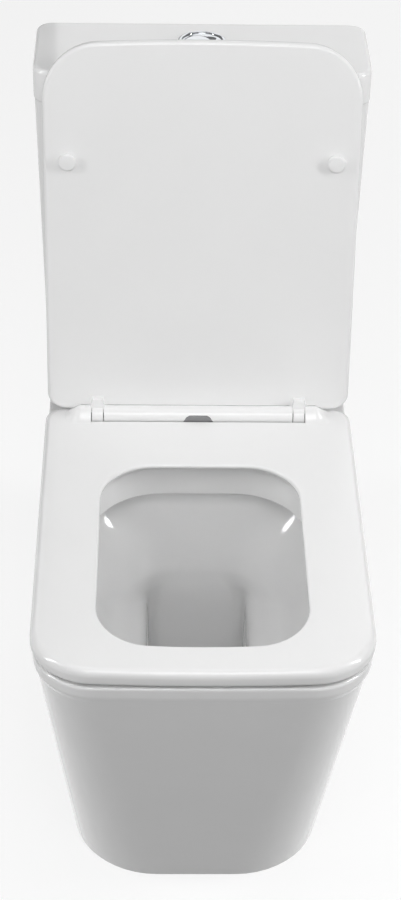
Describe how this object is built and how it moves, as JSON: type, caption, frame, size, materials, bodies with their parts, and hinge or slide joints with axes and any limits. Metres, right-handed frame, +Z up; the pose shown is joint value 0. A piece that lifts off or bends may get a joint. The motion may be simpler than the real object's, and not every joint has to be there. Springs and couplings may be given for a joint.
{
  "type": "close coupled toilet",
  "caption": "Shrouded close coupled toilet: tapered pan, slim cistern with dual flush button, soft-close seat and lid.",
  "frame": {"origin": "on the floor, at the centre of the whole object's box in plan", "axes": "+Z up, +Y towards the wall behind the cistern, +X to the right of a person facing the toilet"},
  "size_m": [0.372, 0.654, 0.8663],
  "materials": {
    "vitreous_china": "glazed white vitreous china",
    "duroplast": "moulded white duroplast, polished",
    "buffer_plastic": "soft white moulded buffer",
    "chrome_plate": "chrome-plated ABS, polished",
    "grey_abs": "grey moulded ABS, satin",
    "white_polypropylene": "natural white polypropylene",
    "blue_acetal": "blue acetal",
    "black_rubber": "black moulded rubber",
    "stainless_steel": "stainless steel"
  },
  "bodies": {
    "ceramics": {"pan": "vitreous_china", "cistern_tank": "vitreous_china", "cistern_lid": "vitreous_china", "hinge_barrel": "duroplast", "hinge_dampers": "grey_abs", "hinge_posts": "chrome_plate", "hinge_bolts": "stainless_steel", "hinge_washers": "black_rubber", "hinge_wing_nuts": "white_polypropylene", "release_spring": "stainless_steel", "button_bezel": "chrome_plate", "bezel_nut": "white_polypropylene", "full_button_spring": "stainless_steel", "half_button_spring": "stainless_steel", "flush_valve_base": "white_polypropylene", "flush_valve_tower": "white_polypropylene", "valve_base_washer": "black_rubber", "valve_back_nut": "white_polypropylene", "doughnut_gasket": "black_rubber", "coupling_bolts": "stainless_steel", "coupling_seals": "black_rubber", "coupling_washers": "stainless_steel", "coupling_wing_nuts": "white_polypropylene", "fill_valve_column": "white_polypropylene", "fill_valve_head": "blue_acetal", "inlet_washer": "black_rubber", "inlet_back_nut": "white_polypropylene", "fixing_brackets": "white_polypropylene", "fixing_screws": "stainless_steel", "fixing_caps": "chrome_plate"},
    "seat_body": {"seat": "duroplast", "seat_buffers": "buffer_plastic"},
    "lid_body": {"toilet_lid": "duroplast", "lid_buffers": "buffer_plastic"},
    "full_button": {"full_flush_button": "chrome_plate"},
    "half_button": {"half_flush_button": "chrome_plate"},
    "valve_lift": {"valve_lift_tube": "blue_acetal", "valve_seal": "black_rubber"},
    "float": {"fill_float": "white_polypropylene"},
    "release": {"release_button": "grey_abs"}
  },
  "joints": [
    {"name": "lid_hinge", "type": "hinge", "parent": "ceramics", "child": "lid_body", "pos_m": [0, 0.119, 0.429], "axis": [-1, 0, 0], "range_deg": [-98.9, 0]},
    {"name": "seat_hinge", "type": "hinge", "parent": "ceramics", "child": "seat_body", "pos_m": [0, 0.119, 0.429], "axis": [-1, 0, 0], "range_deg": [0, 97.5]},
    {"name": "full_flush_press", "type": "slide", "parent": "ceramics", "child": "full_button", "axis": [0, 0, 1], "range_m": [-0.006, 0], "stiffness_N_per_m": 450, "springref_m": 0.003, "deforming": ["full_button_spring"]},
    {"name": "half_flush_press", "type": "slide", "parent": "ceramics", "child": "half_button", "axis": [0, 0, 1], "range_m": [-0.006, 0], "stiffness_N_per_m": 450, "springref_m": 0.003, "deforming": ["half_button_spring"]},
    {"name": "valve_lift_slide", "type": "slide", "parent": "ceramics", "child": "valve_lift", "axis": [0, 0, 1], "range_m": [0, 0.012]},
    {"name": "float_slide", "type": "slide", "parent": "ceramics", "child": "float", "axis": [0, 0, 1], "range_m": [0, 0.055]},
    {"name": "release_press", "type": "slide", "parent": "ceramics", "child": "release", "axis": [0, 1, 0], "range_m": [0, 0.003], "stiffness_N_per_m": 500, "springref_m": -0.002, "deforming": ["release_spring"]}
  ],
  "couplings": [
    {"joint": "valve_lift_slide", "follows": "full_flush_press", "ratio": -2}
  ]
}
